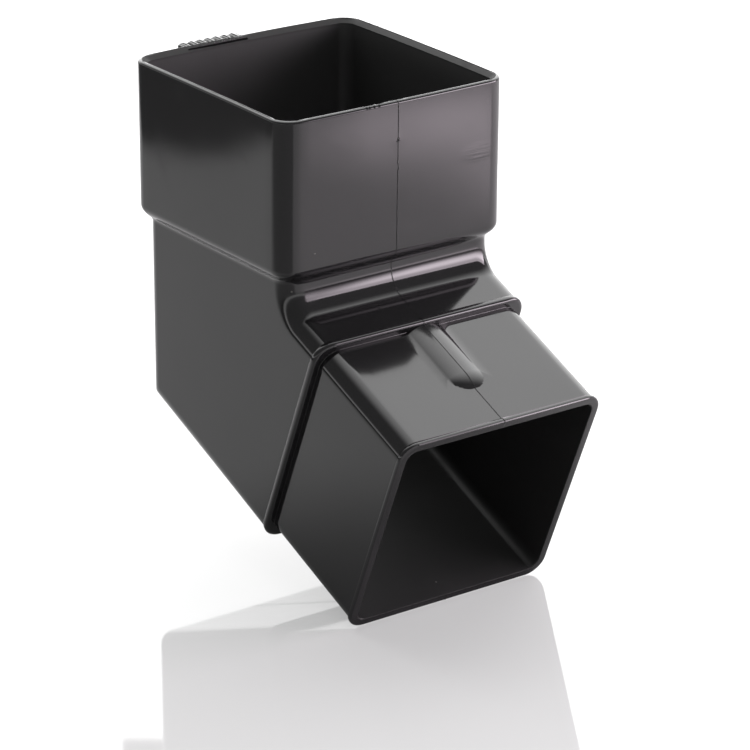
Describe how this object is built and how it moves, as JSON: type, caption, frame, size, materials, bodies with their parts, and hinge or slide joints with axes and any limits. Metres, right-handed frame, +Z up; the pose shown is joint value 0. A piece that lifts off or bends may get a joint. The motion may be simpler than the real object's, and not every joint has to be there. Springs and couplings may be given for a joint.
{
  "type": "downpipe offset bend",
  "caption": "Square rainwater downpipe offset bend in black gloss plastic: an upright square socket at the top, a mitred body, a collar ring and a slanted square spigot.",
  "frame": {"origin": "centre of the upper socket's opening, in the plane of its rim", "axes": "+Z up out of the upper socket along the vertical pipe, -Y the side toward which the spigot slants out and down, +X to the right when the spigot points at the viewer"},
  "size_m": [0.0734, 0.1269, 0.1359],
  "materials": {
    "black_pvc": "gloss"
  },
  "bodies": {
    "root": {"offset_bend": "black_pvc"}
  },
  "joints": []
}
